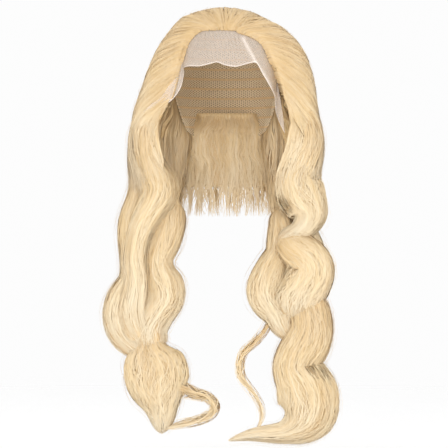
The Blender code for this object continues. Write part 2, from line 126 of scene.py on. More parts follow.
def makeHairMaterial():
    material, tree, shader = startMaterial("bleachedHumanHair")
    tone = addNode(tree, "ShaderNodeAttribute", attribute_name="tone")
    along = addNode(tree, "ShaderNodeAttribute", attribute_name="along")
    valleyShade = addNode(tree, "ShaderNodeAttribute", attribute_name="valleyShade")
    place = addNode(tree, "ShaderNodeTexCoord")
    # broad light and dark bands, as bleach takes unevenly, and a smaller change from hair to hair
    band = addNode(tree, "ShaderNodeTexNoise", {
        "Vector": place.outputs["Object"], "Scale": 1000.0 / hairLook["bandMm"], "Detail": 2.0,
    })
    mixed = addNode(tree, "ShaderNodeMix", {0: 0.55, 2: tone.outputs["Fac"], 3: band.outputs["Fac"]})
    ramp = addNode(tree, "ShaderNodeValToRGB", {"Fac": mixed})
    setStops(
        ramp,
        [
            (0.15, hairLook["deep"]), (0.38, hairLook["shade"]),
            (0.55, hairLook["body"]), (0.78, hairLook["light"]),
        ],
    )
    pale = remap(tree, along.outputs["Fac"], (0.45, 1.0), (0.0, 0.6))
    # painted shade: each strand is darker over the first part of its length, towards its root
    near = remap(tree, along.outputs["Fac"], (0.0, hairLook["rootShadeReach"]), (hairLook["rootShadeShare"], 0.0))
    roots = blend(tree, near, ramp.outputs["Color"], linear(hairLook["roots"]))
    tips = blend(tree, pale, roots, linear(hairLook["tips"]))
    # painted shade: hair low between clumps, and hair given a Shade, is mixed towards the darker golden
    # valley colour
    valleyShadeMix = calc(tree, "MULTIPLY", valleyShade.outputs["Fac"], hairLook["valleyShadeShare"], use_clamp=True)
    final = blend(tree, valleyShadeMix, tips, linear(hairLook["valleyShade"]))
    # the IOR is that of keratin
    setInputs(tree, shader, {
        "Base Color": final, "Roughness": hairLook["roughness"],
        "Specular IOR Level": hairLook["specular"], "IOR": 1.55,
    })
    return material


# The same hair packed close under the top layer: fine grooves run along each lock, in a colour darker than
# the strands that is painted shade.
# The map runs once round a lock of about 120 mm and once down it, so the scale gives grooves 1.3 mm apart.
bedLook = {
    "stops": [(0.3, "#D6B481"), (0.5, "#E0C597"), (0.7, "#E8D2AA")], "scale": (120.0 / 1.3, 3.0, 1.0),
    "depth": 0.7, "roughness": 0.6,
}
# Where it is seen from below and inside it has no map: the fibres run down, 1.3 mm apart, in a still darker
# colour that is painted shade.
underLook = {
    "stops": [(0.3, "#CDA872"), (0.5, "#DABB87"), (0.7, "#E6CFA4")], "scale": (760.0, 760.0, 18.0),
    "depth": 0.6, "roughness": 0.55,
}


def makePackedMaterial(name, look, mapped):
    material, tree, shader = startMaterial(name)
    if mapped:
        place = addNode(tree, "ShaderNodeUVMap", uv_map="UVMap").outputs[0]
    else:
        place = addNode(tree, "ShaderNodeTexCoord").outputs["Object"]
    stretch = addNode(tree, "ShaderNodeMapping", {"Vector": place, "Scale": look["scale"]})
    groove = addNode(tree, "ShaderNodeTexNoise", {
        "Vector": stretch, "Scale": 1.0, "Detail": 3.0,
    }).outputs["Fac"]
    ramp = addNode(tree, "ShaderNodeValToRGB", {"Fac": groove})
    setStops(ramp, look["stops"])
    bump = addNode(tree, "ShaderNodeBump", {
        "Strength": look["depth"], "Distance": 0.0008, "Height": groove,
    })
    setInputs(tree, shader, {"Base Color": ramp, "Normal": bump, "Roughness": look["roughness"]})
    return material


def addHexNet(tree, mmPlace, pitch, thin, thick):
    # open hexagons: three crossed waves peak in the holes and are lowest along the threads
    waves = []
    for turn in (0, 60, 120):
        angle = math.radians(turn)
        reach = math.tau / pitch
        axis = (math.cos(angle) * reach, math.sin(angle) * reach, 0.0)
        run = calc(tree, "DOT_PRODUCT", mmPlace, axis, kind="VectorMath")
        waves.append(calc(tree, "COSINE", run.outputs["Value"]))
    two = calc(tree, "ADD", waves[0].outputs[0], waves[1].outputs[0])
    three = calc(tree, "ADD", two, waves[2].outputs[0])
    return remap(tree, three, (thin, thick)).outputs[0]


# Swiss lace, warp-knitted from fine nylon in open hexagons: nearly clear, with a whitish haze where it
# is seen edge on or doubled. The real mesh is 0.8 mm; it is drawn at 1.8 mm so that it shows.
laceLook = {"thread": "#F8ECE1", "pitchMm": 1.8, "hole": 0.06, "threadAlpha": 0.48}


def makeLaceMaterial():
    material, tree, shader = startMaterial("swissLace")
    cloth = addNode(tree, "ShaderNodeAttribute", attribute_name="clothMm")
    thread = addHexNet(tree, cloth.outputs["Vector"], laceLook["pitchMm"], -0.2, -0.8)
    edge = addNode(tree, "ShaderNodeAttribute", attribute_name="doubled")
    alpha = remap(tree, thread, target=(laceLook["hole"], laceLook["threadAlpha"]))
    both = calc(tree, "ADD", alpha, edge.outputs["Fac"], use_clamp=True)
    bump = addNode(tree, "ShaderNodeBump", {"Strength": 0.4, "Distance": 0.0002, "Height": thread})
    base = linear(laceLook["thread"])
    setInputs(tree, shader, {"Base Color": base, "Alpha": both, "Normal": bump, "Roughness": 0.55})
    return material


# Stretch net of the cap, knitted polyester in a warm beige with a matt dry surface. Every 13 mm a weft
# of hair is sewn on along a closer, darker band. The real net is 1 mm; it is drawn at 2.6 mm to show.
netLook = {
    "thread": "#DCC7A6", "weft": "#CDB087", "pitchMm": 2.6, "hole": 0.45, "weftMm": 13.0,
    "weftShare": 0.8,
}


def makeNetMaterial():
    material, tree, shader = startMaterial("stretchNet")
    cloth = addNode(tree, "ShaderNodeAttribute", attribute_name="clothMm")
    thread = addHexNet(tree, cloth.outputs["Vector"], netLook["pitchMm"], 0.4, -0.6)
    rise = calc(
        tree, "DOT_PRODUCT", cloth.outputs["Vector"], (0.0, math.tau / netLook["weftMm"], 0.0),
        kind="VectorMath",
    )
    wave = calc(tree, "COSINE", rise.outputs["Value"])
    weft = remap(tree, wave, (netLook["weftShare"] - 0.1, netLook["weftShare"]))
    opening = remap(tree, thread, target=(netLook["hole"], 1.0))
    solid = calc(tree, "MAXIMUM", opening, weft)
    colour = blend(tree, weft, linear(netLook["thread"]), linear(netLook["weft"]))
    height = calc(tree, "ADD", thread, weft)
    bump = addNode(tree, "ShaderNodeBump", {"Strength": 0.6, "Distance": 0.0006, "Height": height})
    setInputs(tree, shader, {"Base Color": colour, "Alpha": solid, "Normal": bump, "Roughness": 0.8})
    return material


# Moulded nylon comb, dark plum brown, slightly glossy with fine mould texture.
def makeCombMaterial():
    material, tree, shader = startMaterial("mouldedNylon")
    place = addNode(tree, "ShaderNodeTexCoord")
    grain = addNode(tree, "ShaderNodeTexNoise", {
        "Vector": place.outputs["Object"], "Scale": 900.0, "Detail": 2.0,
    })
    ramp = addNode(tree, "ShaderNodeValToRGB", {"Fac": grain.outputs["Fac"]})
    setStops(ramp, [(0.3, "#2A1A24"), (0.7, "#3B2834")])
    bump = addNode(tree, "ShaderNodeBump", {
        "Strength": 0.2, "Distance": 0.0002, "Height": grain.outputs["Fac"],
    })
    setInputs(tree, shader, {"Base Color": ramp, "Normal": bump, "Roughness": 0.38})
    return material


hair = makeHairMaterial()
bed = makePackedMaterial("packedHairBed", bedLook, True)
laceCloth = makeLaceMaterial()
net = makeNetMaterial()
comb = makeCombMaterial()
print("wig: materials made")

# Rows down each lock in mm: across, depth, height, half width, half depth.
locks = {
    "leftFront": [
        (-96.9, -34, -126.1, 16.9, 24), (-103.4, -36, -149.5, 17.6, 24),
        (-103.4, -40, -175.5, 16.9, 24), (-95.5, -46, -198.9, 18.2, 22), (-87.8, -52, -217.1, 23.4, 21),
        (-86.5, -57, -232.7, 24.1, 20), (-95.5, -60, -250.9, 20.2, 19), (-107.2, -63, -271.7, 17.6, 18),
        (-115, -66, -295.1, 15.6, 18), (-117.7, -68, -318.5, 15.6, 18), (-115, -72, -341.9, 16.9, 18),
        (-117.7, -78, -364, 19.5, 18), (-120.2, -82, -386.1, 22.1, 18), (-112.5, -84, -409.5, 20.8, 17),
        (-98.5, -84, -432, 8, 8),
    ],
    "leftOuter": [
        (-111.2, -5, -126.1, 15.6, 28), (-112.5, -5, -156, 15.6, 30), (-113.8, -8, -188.5, 14.3, 30),
        (-112.5, -14, -214.5, 13.7, 28), (-117.7, -22, -240.5, 14.3, 26),
        (-124.2, -30, -263.9, 16.2, 24), (-125.5, -38, -286, 16.2, 24), (-124.2, -46, -312, 15, 24),
        (-122.9, -54, -341.9, 16.2, 24), (-133.2, -62, -366.6, 22.1, 24), (-137.2, -68, -390, 23.4, 24),
        (-128.1, -72, -412.1, 24.7, 22), (-109.9, -75, -430.3, 19.5, 20), (-94.2, -78, -445, 8, 9),
    ],
    "leftInner": [
        (-70.9, -38, -235.3, 11.7, 18), (-73.5, -42, -253.5, 20.8, 18), (-76, -46, -273, 23.4, 18),
        (-81.2, -50, -295.1, 22.1, 18), (-87.8, -54, -315.9, 19.5, 18), (-86.5, -60, -334.1, 21.4, 18),
        (-80, -66, -351, 26, 19), (-78.7, -72, -367.9, 24.7, 20), (-89, -76, -386.1, 22.8, 20),
        (-99.5, -80, -404.3, 24.7, 18), (-100.8, -82, -422.5, 26, 17), (-98.2, -82, -443, 10, 8),
    ],
    "leftLow": [
        (-97, -80, -409, 9, 8), (-97.5, -83, -427, 22, 15), (-95.5, -84, -442, 36.4, 20),
        (-90.4, -84, -458.9, 41.6, 22), (-89, -84, -474.5, 40.3, 22), (-86.5, -83, -490.1, 33.8, 21),
        (-83.9, -82, -504.4, 24.1, 19), (-82.5, -81, -518.7, 17.6, 16), (-82.5, -80, -533, 13, 12),
        (-82.5, -80, -539.5, 7.8, 7),
    ],
    "leftTip": [
        (-76, -84, -479.7, 13, 14), (-57.9, -86, -482.3, 10.4, 11), (-39.6, -87, -488.8, 7.8, 8),
        (-24.1, -87, -492.7, 6.5, 7), (-15, -86, -503.1, 6.5, 7), (-20.2, -85, -514.8, 6.5, 7),
        (-34.5, -84, -521.3, 7.8, 8), (-55.2, -83, -526.5, 8.5, 9), (-76, -82, -531.7, 7.8, 9),
        (-90.4, -81, -534.3, 5.9, 7),
    ],
    "rightFront": [
        (103.4, -34, -126.1, 18.2, 24), (107.2, -36, -149.5, 18.2, 24), (106, -40, -172.9, 19.5, 24),
        (98.2, -46, -193.7, 22.1, 22), (90.4, -52, -214.5, 26.7, 21), (94.2, -57, -231.4, 32.5, 20),
        (100.8, -60, -245.7, 29.2, 20), (106, -62, -258.7, 24.1, 19), (102, -64, -271.7, 18.2, 18),
        (91.7, -66, -283.4, 15, 17), (77.4, -68, -292.5, 15.6, 17), (68.5, -71, -305, 7, 8),
    ],
    "rightMiddle": [
        (72.2, -66, -287.3, 15.6, 18), (82.5, -70, -300.3, 22.1, 19), (98.2, -74, -313.3, 28.6, 20),
        (107.2, -77, -328.9, 31.2, 21), (103.4, -79, -345.8, 31.2, 21), (95.5, -80, -361.4, 31.2, 20),
        (87.8, -81, -377, 28.6, 19), (85, -82, -395, 10, 9),
    ],
    "rightLow": [
        (94.5, -78, -354, 9, 9), (103.4, -79, -375.7, 26, 18), (107.2, -80, -392.6, 27.9, 19),
        (107.2, -81, -409.5, 29.9, 20), (100.8, -82, -426.4, 31.2, 20), (91.7, -83, -442, 30.6, 20),
        (87.8, -83, -456.3, 31.2, 20), (95.5, -84, -470.6, 36.4, 21), (102, -84, -486.2, 40.3, 22),
        (104.7, -84, -501.8, 39, 22), (100.8, -83, -517.4, 37.7, 21), (90.4, -82, -530.4, 26, 18),
        (72.2, -81, -538.2, 14.3, 15), (52.6, -80, -539.5, 11.7, 12), (33.1, -80, -540.8, 10.4, 10),
        (15, -80, -544.7, 7.8, 8), (2, -80, -548.6, 5.2, 6),
    ],
    "rightInner": [
        (74.8, -44, -248.3, 13, 16), (69.5, -47, -262.6, 19.5, 17), (70.9, -50, -278.2, 18.2, 17),
        (69.5, -54, -295.1, 18.2, 17), (67, -58, -310.7, 18.2, 17), (59.1, -62, -326.3, 20.8, 17),
        (54, -66, -341.9, 24.7, 17), (51.4, -68, -357.5, 27.3, 17), (56.6, -70, -371.8, 26, 17),
        (65.7, -73, -386.1, 20.8, 16), (72.2, -76, -401.7, 16.9, 16), (84, -80, -423, 8, 8),
    ],
    "rightWisp": [
        (56.6, -74, -386.1, 6.5, 6), (51.4, -76, -403, 5.2, 5), (38.4, -78, -419.9, 5.2, 5),
        (21.4, -79, -435.5, 5.2, 5), (16.9, -80, -453.7, 5.9, 5), (20.2, -80, -469.3, 5.2, 5),
        (31.9, -80, -484.9, 5.2, 5), (41, -80, -499.2, 5.9, 5), (44.9, -80, -514.8, 6.5, 6),
        (41, -80, -530.4, 7.8, 8), (33.1, -80, -540.8, 7.8, 8),
    ],
    "leftSide": [
        (-98, 25, -128, 27, 34), (-100, 24, -165, 27, 34), (-98, 18, -200, 27, 32),
        (-98, 8, -240, 28, 30), (-102, -6, -280, 28, 28), (-110, -30, -320, 26, 26),
        (-119, -55, -374, 10, 11),
    ],
    "leftBack": [
        (-72, 62, -128, 30, 30), (-74, 60, -165, 28, 28), (-80, 52, -200, 26, 26),
        (-86, 40, -240, 26, 25), (-94, 20, -280, 26, 24), (-104, -4, -320, 24, 22),
        (-113, -42, -368, 9, 9),
    ],
    "rightSide": [
        (97, 25, -128, 28, 34), (98, 24, -165, 28, 34), (93, 18, -200, 26, 32), (89, 8, -240, 27, 30),
        (93, -8, -280, 25, 28), (104, -33, -320, 26, 26), (106, -58, -372, 10, 11),
    ],
    "rightBack": [
        (72, 62, -128, 30, 30), (74, 60, -165, 28, 28), (78, 52, -200, 26, 26), (82, 38, -240, 26, 25),
        (88, 18, -280, 25, 24), (96, -6, -320, 24, 22), (103, -46, -366, 9, 9),
    ],
    "napeMiddle": [
        (2, 86, -128, 32, 20), (2, 86, -168, 31, 18), (1.5, 81, -212, 25, 15), (1, 73, -252, 9, 8),
    ],
    "napeLeft": [
        (-32, 80, -128, 26, 25), (-35, 78, -165, 27, 21), (-39, 73, -200, 26, 17),
        (-43, 62, -236, 21, 16), (-46, 53, -264, 10, 8),
    ],
    "napeRight": [
        (32, 80, -128, 26, 25), (36, 78, -163, 26, 21), (40, 73, -198, 25, 17), (43, 62, -238, 21, 16),
        (46, 53, -266, 9, 8),
    ],
}

# Edge of the hair round the front opening, seen from in front, in mm: across, height.
hairline = [
    (-89, -143), (-85.2, -133.9), (-78.7, -123.5), (-72.2, -110.5), (-68.2, -97.5), (-64.4, -78),
    (-61.8, -67.6), (-59.1, -58.5), (-55.2, -45.5), (-51.4, -35.1), (-43.6, -26), (-34.5, -19.5),
    (-21.4, -18.9), (-2, -18.9), (11.1, -19.5), (17.6, -23.4), (30.6, -27.3), (41, -32.5),
    (50.1, -40.3), (55.2, -52), (59.1, -62.4), (64.4, -71.5), (68.2, -84.5), (72.2, -97.5),
    (74.8, -110.5), (78.7, -126.1), (81.2, -143),
]

# Form of the inside of the cap, in mm.
headForm = {"halfWidth": 71.0, "halfLength": 93.0, "rise": 85.0, "drop": 140.0}


def eased(rows, perRow):
    # rows of numbers eased into more rows, through every given one
    given = [np.array(r, float) for r in rows]
    given = [2 * given[0] - given[1]] + given + [2 * given[-1] - given[-2]]
    out = []
    for k in range(1, len(given) - 2):
        p, a, b, n = given[k - 1], given[k], given[k + 1], given[k + 2]
        for s in range(perRow):
            t = s / perRow
            out.append(a + 0.5 * t * (b - p + t * (2 * p - 5 * a + 4 * b - n + t * (3 * (a - b) + n - p))))
    out.append(given[-2])
    return np.array(out)


def gridMesh(name, grid, close=False):
    # rows of points as a mesh, its map running across from 0 to 1 and down from 0 to 1
    rows, columns = grid.shape[:2]
    faces = []
    for r in range(rows - 1):
        for c in range(columns - 1):
            a = r * columns + c
            faces.append((a, a + columns, a + columns + 1, a + 1))
    mesh = bpy.data.meshes.new(name)
    mesh.from_pydata(grid.reshape(-1, 3).tolist(), [], faces)
    layer = mesh.uv_layers.new(name="UVMap")
    corner = np.zeros(len(mesh.loops), np.int32)
    mesh.loops.foreach_get("vertex_index", corner)
    uv = np.stack([(corner % columns) / (columns - 1), (corner // columns) / (rows - 1)], axis=1)
    layer.data.foreach_set("uv", uv.astype(np.float32).reshape(-1))
    if close:
        shape = bmesh.new()
        shape.from_mesh(mesh)
        bmesh.ops.remove_doubles(shape, verts=shape.verts, dist=1e-6)
        bmesh.ops.holes_fill(shape, edges=[e for e in shape.edges if e.is_boundary], sides=0)
        bmesh.ops.recalc_face_normals(shape, faces=shape.faces)
        shape.to_mesh(mesh)
        shape.free()
    for face in mesh.polygons:
        face.use_smooth = True
    return addObject(name, mesh)


def joinAll(name, objects):
    first = objects[0]
    if len(objects) > 1:
        with bpy.context.temp_override(
            active_object=first, object=first, selected_objects=objects,
            selected_editable_objects=objects,
        ):
            bpy.ops.object.join()
    first.name = name
    first.data.name = name
    return first


# A lock's own surface: the section is widest where the lock turns, with soft ridges along it.
crownRim = -135.0  # locks that start lower than this begin within another lock
lockShape = {
    "perRow": 5, "sides": 40, "ridges": 7, "ridgeDepth": 0.03, "ridgeDrift": 1.3, "startShare": 0.06,
    "endShare": 0.06, "lowEnd": 0.2, "hiddenStart": 0.2, "wispEnd": 0.5, "lowBedLength": 0.76,
}


def lockGrid(rows, scale, seed, endShare=lockShape["endShare"], startShare=lockShape["startShare"]):
    rings = eased(rows, lockShape["perRow"]) * np.array([mm, mm, mm, mm, mm])
    grid = np.zeros((len(rings), lockShape["sides"] + 1, 3))
    for k, ring in enumerate(rings):
        before = Vector(rings[max(k - 1, 0)][:3])
        after = Vector(rings[min(k + 1, len(rings) - 1)][:3])
        run = (after - before).normalized()
        wide = run.cross(Vector((0, 1, 0))).normalized()
        deep = wide.cross(run).normalized()
        down = k / (len(rings) - 1)
        ends = (1.004 - down) / endShare
        if rows[0][2] < crownRim:
            size = scale * math.sqrt(min(1.0, ends, (down + 0.004) / startShare))
        else:
            below = min(1.0, max(0.0, (crownRim + 9.0 - ring[2] / mm) / 32.0))
            size = scale * math.sqrt(min(1.0, ends)) * (0.55 + 0.45 * below * below * (3 - 2 * below))
        drift = lockShape["ridgeDrift"] * math.sin(seed + 5.0 * down)
        for s in range(lockShape["sides"] + 1):
            share = s / lockShape["sides"]
            turn = math.pi / 2 + math.tau * share  # the join of the map is at the back
            ridge = 1 + lockShape["ridgeDepth"] * math.cos(lockShape["ridges"] * turn + drift)
            point = Vector(ring[:3]) + wide * (math.cos(turn) * ring[3] * ridge * size)
            point += deep * (math.sin(turn) * ring[4] * ridge * size)
            grid[k, s] = point
    return grid


# Geometry Nodes: strands that run down a guide surface by its map. Each is a narrow ribbon that lies on
# the surface, gathered into clumps, with its own lift, tilt, start and end.
def makeStrandTree():
    tree = bpy.data.node_groups.new("strandsOnGuide", "GeometryNodeTree")
    tree.interface.new_socket("Geometry", in_out="INPUT", socket_type="NodeSocketGeometry")
    lengths = ("Width", "Lift", "Lift Spread", "Clump Rise", "Root Sink")
    shares = (
        "Wander", "Clumps", "Clump Pull", "Clump Run", "Front Bias", "Start Spread", "End Spread", "Tilt",
        "Shade",
    )
    kinds = dict.fromkeys(("Count", "Points", "Seed"), "Int")
    kinds.update(dict.fromkeys(lengths + shares, "Float"), Material="Material")
    for name, kind in kinds.items():
        tree.interface.new_socket(name, in_out="INPUT", socket_type="NodeSocket" + kind)
    tree.interface.new_socket("Geometry", in_out="OUTPUT", socket_type="NodeSocketGeometry")
    given = addNode(tree, "NodeGroupInput").outputs
    line = addNode(tree, "GeometryNodeCurvePrimitiveLine", {"Start": (0, 0, 0), "End": (0, 0, 1)})
    fine = addNode(tree, "GeometryNodeResampleCurve", {"Curve": line, "Count": given["Points"]})
    many = addNode(tree, "GeometryNodeDuplicateElements", {
        "Geometry": fine, "Amount": given["Count"],
    }, domain="SPLINE")
    index = many.outputs["Duplicate Index"]
    chance = {}
    for offset, (name, low, high) in enumerate((
        ("across", -1.0, 1.0), ("start", 0.0, 1.0), ("end", 0.0, 1.0), ("lift", 0.0, 1.0),
        ("tilt", -1.0, 1.0), ("tone", 0.0, 1.0), ("width", 0.6, 1.3), ("phase", 0.0, 50.0),
    )):
        seed = calc(tree, "ADD", given["Seed"], float(offset * 31))
        chance[name] = addNode(tree, "FunctionNodeRandomValue", {
            2: low, 3: high, "ID": index, "Seed": seed,
        }).outputs[1]
    run = addNode(tree, "GeometryNodeSplineParameter").outputs["Factor"]
    # place across the guide, drawn towards the front by the bias
    size = calc(tree, "ABSOLUTE", chance["across"])
    power = calc(tree, "SUBTRACT", given["Front Bias"], 1.0)
    bent = calc(tree, "POWER", size, power)
    side = calc(tree, "MULTIPLY", bent, chance["across"])
    middle = calc(tree, "MULTIPLY_ADD", side, 0.5, 0.5)
    # slow drift from side to side
    along = calc(tree, "MULTIPLY_ADD", run, 2.4, chance["phase"])
    drift = addNode(tree, "ShaderNodeTexNoise", {
        "W": along, "Scale": 1.0, "Detail": 1.0,
    }, noise_dimensions="1D")
    centred = calc(tree, "SUBTRACT", drift.outputs["Fac"], 0.5)
    strayed = calc(tree, "MULTIPLY_ADD", centred, given["Wander"], middle)
    # start and end along the guide
    early = calc(tree, "POWER", chance["start"], 1.8)
    begin = calc(tree, "MULTIPLY", early, given["Start Spread"])
    late = calc(tree, "POWER", chance["end"], 1.6)
    short = calc(tree, "MULTIPLY", late, given["End Spread"])
    finish = calc(tree, "SUBTRACT", 0.999, short)
    down = remap(tree, run, target=(begin, finish))
    # clumps: uneven fields stretched along the strands draw them sideways and lift or sink them
    acrossRun = calc(tree, "MULTIPLY", strayed, given["Clumps"])
    downRun = calc(tree, "MULTIPLY", down, given["Clump Run"])
    fields = []
    for plane in (3.7, 19.1):
        level = calc(tree, "MULTIPLY_ADD", given["Seed"], 7.3, plane)
        clumpSpot = addNode(tree, "ShaderNodeCombineXYZ", {"X": acrossRun, "Y": downRun, "Z": level})
        noise = addNode(tree, "ShaderNodeTexNoise", {"Vector": clumpSpot, "Scale": 1.0, "Detail": 1.0})
        spread = remap(tree, noise.outputs["Fac"], (0.28, 0.72), (-1.0, 1.0))
        fields.append(spread.outputs[0])
    step = calc(tree, "DIVIDE", given["Clump Pull"], given["Clumps"])
    gather = calc(tree, "MULTIPLY", fields[0], step)
    drawn = calc(tree, "ADD", strayed, gather)
    folded = calc(tree, "PINGPONG", drawn, 1.0)
    across = addNode(tree, "ShaderNodeClamp", {"Value": folded, "Min": 0.0015, "Max": 0.9985})
    spot = addNode(tree, "ShaderNodeCombineXYZ", {"X": across, "Y": down})
    ownMap = addNode(tree, "GeometryNodeInputNamedAttribute", {"Name": "UVMap"}, data_type="FLOAT_VECTOR")
    where = addNode(tree, "GeometryNodeSampleUVSurface", {
        "Mesh": given["Geometry"], "Value": addNode(tree, "GeometryNodeInputPosition").outputs[0],
        "UV Map": ownMap, "Sample UV": spot,
    }, data_type="FLOAT_VECTOR")
    out = addNode(tree, "GeometryNodeSampleUVSurface", {
        "Mesh": given["Geometry"], "Value": addNode(tree, "GeometryNodeInputNormal").outputs[0],
        "UV Map": ownMap, "Sample UV": spot,
    }, data_type="FLOAT_VECTOR")
    # height over the guide: own lift, clump crown, and a dip at the root
    own = calc(tree, "MULTIPLY_ADD", chance["lift"], given["Lift Spread"], given["Lift"])
    crown = calc(tree, "MULTIPLY_ADD", fields[1], given["Clump Rise"], own)
    root = remap(tree, run, (0.0, 0.08), (1.0, 0.0), interpolation_type="SMOOTHSTEP")
    dip = calc(tree, "MULTIPLY", root, given["Root Sink"])
    height = calc(tree, "SUBTRACT", crown, dip)
    raised = addNode(tree, "ShaderNodeVectorMath", {0: out, "Scale": height}, operation="SCALE")
    place = calc(tree, "ADD", where, raised, kind="VectorMath")
    laid = addNode(tree, "GeometryNodeSetPosition", {
        "Geometry": many.outputs["Geometry"], "Position": place,
    })
    faced = addNode(tree, "GeometryNodeSetCurveNormal", {"Curve": laid, "Normal": out}, mode="FREE")
    tilt = calc(tree, "MULTIPLY", chance["tilt"], given["Tilt"])
    tilted = addNode(tree, "GeometryNodeSetCurveTilt", {"Curve": faced, "Tilt": tilt})
    shape = tilted.outputs[0]
    # painted shade: strands low in their clump are marked for the darker valley colour, and the Shade adds
    # more
    low = remap(tree, fields[1], (-0.9, 0.3), (1.0, 0.0))
    hollowShade = calc(tree, "ADD", low, given["Shade"], use_clamp=True)
    for name, value in (
        ("tone", chance["tone"]), ("along", down.outputs[0]), ("valleyShade", hollowShade.outputs[0]),
    ):
        shape = addNode(tree, "GeometryNodeStoreNamedAttribute", {
            "Geometry": shape, "Name": name, "Value": value,
        }, data_type="FLOAT", domain="POINT").outputs[0]
    # full width through the middle, fine at both ends
    taper = remap(tree, run, (0.8, 1.0), (1.0, 0.25))
    broad = calc(tree, "MULTIPLY", chance["width"], given["Width"])
    width = calc(tree, "MULTIPLY", broad, taper)
    flat = addNode(tree, "GeometryNodeCurvePrimitiveLine", {"Start": (0, -0.5, 0), "End": (0, 0.5, 0)})
    ribbon = addNode(tree, "GeometryNodeCurveToMesh", {
        "Curve": shape, "Profile Curve": flat, "Scale": width,
    })
    smooth = addNode(tree, "GeometryNodeSetShadeSmooth", {"Geometry": ribbon})
    real = addNode(tree, "GeometryNodeRealizeInstances", {"Geometry": smooth})
    final = addNode(tree, "GeometryNodeSetMaterial", {"Geometry": real, "Material": given["Material"]})
    addNode(tree, "NodeGroupOutput", {"Geometry": final})
    return tree


strandTree = makeStrandTree()


def growStrands(guide, *looks):
    # evaluates the tree on a guide for each look, returns the strands as plain meshes, and drops the guide
    grown = []
    for look in looks:
        modifier = guide.modifiers.new("strands", "NODES")
        modifier.node_group = strandTree
        for item in strandTree.interface.items_tree:
            if item.item_type == "SOCKET" and item.in_out == "INPUT" and item.name in look:
                modifier[item.identifier] = look[item.name]
        guide.update_tag()
        bpy.context.view_layer.update()
        graph = bpy.context.evaluated_depsgraph_get()
        mesh = bpy.data.meshes.new_from_object(guide.evaluated_get(graph), depsgraph=graph)
        guide.modifiers.remove(modifier)
        grown.append(addObject(guide.name + "Strands", mesh))
    bpy.data.objects.remove(guide, do_unlink=True)
    return grown


strandLook = {
    "Points": 22, "Width": 0.85 * mm, "Lift": -0.8 * mm, "Lift Spread": 1.6 * mm, "Wander": 0.10,
    "Clumps": 11.0, "Clump Pull": 0.45, "Clump Rise": 0.6 * mm, "Clump Run": 1.6, "Front Bias": 1.2,
    "Start Spread": 0.12, "End Spread": 0.26, "Tilt": 0.06, "Root Sink": 3.0 * mm, "Shade": 0.0,
    "Material": hair,
}
looseLook = dict(strandLook, **{
    "Width": 0.4 * mm, "Lift": 1.0 * mm, "Lift Spread": 6.0 * mm, "Wander": 0.22, "Clump Pull": 0.0,
    "Clump Rise": 0.0, "Front Bias": 1.0, "End Spread": 0.5,
})

# Falls: layers of strands on each lock, and how far each lies in shade.
fallLayers = {
    "leftFront": (5.0, 0.0), "leftOuter": (4.0, 0.0), "leftInner": (5.0, 0.0), "leftLow": (5.0, 0.0),
    "leftTip": (2.2, 0.0), "leftSide": (3.0, 0.1), "leftBack": (2.6, 0.45),
    "rightFront": (5.0, 0.0), "rightMiddle": (5.0, 0.0), "rightLow": (5.0, 0.0), "rightInner": (4.5, 0.0),
    "rightWisp": (1.7, 0.0), "rightSide": (3.0, 0.1), "rightBack": (2.6, 0.45),
}
thinLocks = {"leftTip", "rightWisp"}
lowLocks = {"leftLow", "rightLow"}
coveredLocks = {"rightInner"}
looseShare = 0.055
fallNodes = {"left": ("left_fall", "leftFall"), "right": ("right_fall", "rightFall")}

bedMeshes = []
for prefix, (node, title) in fallNodes.items():
    beds = []
    strands = []
    for number, name in enumerate(k for k in locks if k.startswith(prefix)):
        layers, shade = fallLayers[name]
        rows = np.array(locks[name])
        girth = math.pi * (rows[:, 3].mean() + rows[:, 4].mean()) * mm
        count = int(layers * girth / strandLook["Width"])
        look = dict(strandLook, Count=count, Seed=number + 11, Shade=shade)
        if name in thinLocks:
            look.update({
                "Lift": -5.5 * mm, "Lift Spread": 7.0 * mm, "Wander": 0.5, "Clump Pull": 1.3,
                "Clumps": 4.0, "Points": 34,
            })
        if name in lowLocks:
            look.update({"End Spread": 0.42})
        endKind = "wispEnd" if name in thinLocks else "lowEnd" if name in lowLocks else "endShare"
        endShare = lockShape[endKind]
        startShare = lockShape["hiddenStart" if name in coveredLocks else "startShare"]
        guide = gridMesh(name, lockGrid(locks[name], 0.97, number * 2.1, endShare, startShare))
        wild = dict(looseLook, Count=max(6, int(count * looseShare)), Seed=number + 401)
        strands += growStrands(guide, look, wild)
        if name not in thinLocks:
            inner = lockGrid(locks[name], 0.88, number * 2.1, endShare, startShare)
            share = lockShape["lowBedLength"] if name in lowLocks else 1.0
            packed = gridMesh(name + "Bed", inner[:int(len(inner) * share)], close=True)
            packed.data.materials.append(bed)
            beds.append(packed)
    under = joinAll(title + "Bed", beds)
    top = joinAll(title + "Strands", strands)
    for piece in (under, top):
        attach(piece, "root")
    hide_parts(node)
    bedMeshes.append(under.data)
    print("wig:", title, len(top.data.polygons) * 2, "triangles of strands")


def meshTree(meshes):
    # one search tree over several meshes
    points, faces = [], []
    for mesh in meshes:
        base = len(points)
        points.extend(v.co.copy() for v in mesh.vertices)
        faces.extend(tuple(base + i for i in p.vertices) for p in mesh.polygons)
    return BVHTree.FromPolygons(points, faces)


def nodeTree(names):
    return meshTree([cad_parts[name].data for name in names])


def castBack(tree, x, z):
    # what a ray from in front meets first, across and height in mm
    return tree.ray_cast(Vector((x * mm, -0.3, z * mm)), Vector((0, 1, 0)))


